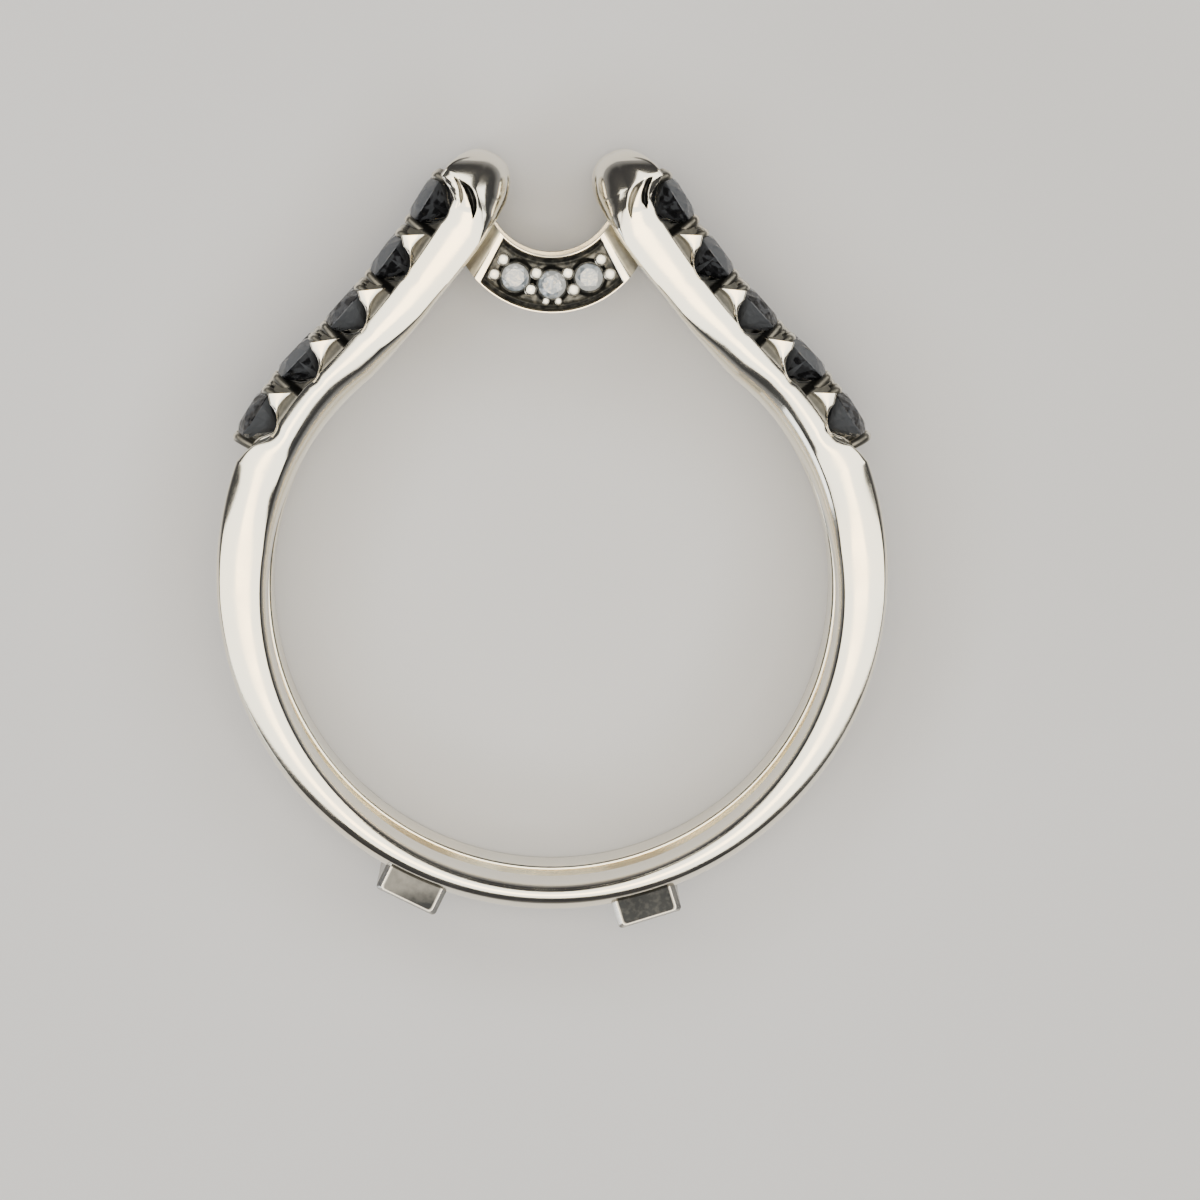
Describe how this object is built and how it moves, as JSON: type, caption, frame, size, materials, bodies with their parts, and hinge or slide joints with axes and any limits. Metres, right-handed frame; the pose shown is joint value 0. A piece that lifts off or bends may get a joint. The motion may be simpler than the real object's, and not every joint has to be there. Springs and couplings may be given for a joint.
{
  "type": "ring guard enhancer",
  "caption": "Double-band ring guard with scalloped jewelled shoulders, an open top with two small gallery bars, and a slot that takes a solitaire ring.",
  "frame": {"origin": "centre of the finger hole, halfway between the two bands", "axes": "+Z along the finger hole, +Y toward the open top between the tips, +X to the right as seen from +Z"},
  "size_m": [0.0204, 0.0237, 0.0068],
  "materials": {
    "white_gold": "polished white gold",
    "shoulder_stones": "faceted clear stone",
    "gallery_stones": "faceted clear stone"
  },
  "bodies": {
    "root": {"guard_mount": "white_gold", "shoulder_stone_near_right_1": "shoulder_stones", "shoulder_stone_near_right_2": "shoulder_stones", "shoulder_stone_near_right_3": "shoulder_stones", "shoulder_stone_near_right_4": "shoulder_stones", "shoulder_stone_near_right_5": "shoulder_stones", "shoulder_stone_near_left_1": "shoulder_stones", "shoulder_stone_near_left_2": "shoulder_stones", "shoulder_stone_near_left_3": "shoulder_stones", "shoulder_stone_near_left_4": "shoulder_stones", "shoulder_stone_near_left_5": "shoulder_stones", "shoulder_stone_far_right_1": "shoulder_stones", "shoulder_stone_far_right_2": "shoulder_stones", "shoulder_stone_far_right_3": "shoulder_stones", "shoulder_stone_far_right_4": "shoulder_stones", "shoulder_stone_far_right_5": "shoulder_stones", "shoulder_stone_far_left_1": "shoulder_stones", "shoulder_stone_far_left_2": "shoulder_stones", "shoulder_stone_far_left_3": "shoulder_stones", "shoulder_stone_far_left_4": "shoulder_stones", "shoulder_stone_far_left_5": "shoulder_stones", "gallery_stone_near_right": "gallery_stones", "gallery_stone_near_middle": "gallery_stones", "gallery_stone_near_left": "gallery_stones", "gallery_stone_far_right": "gallery_stones", "gallery_stone_far_middle": "gallery_stones", "gallery_stone_far_left": "gallery_stones"}
  },
  "joints": []
}
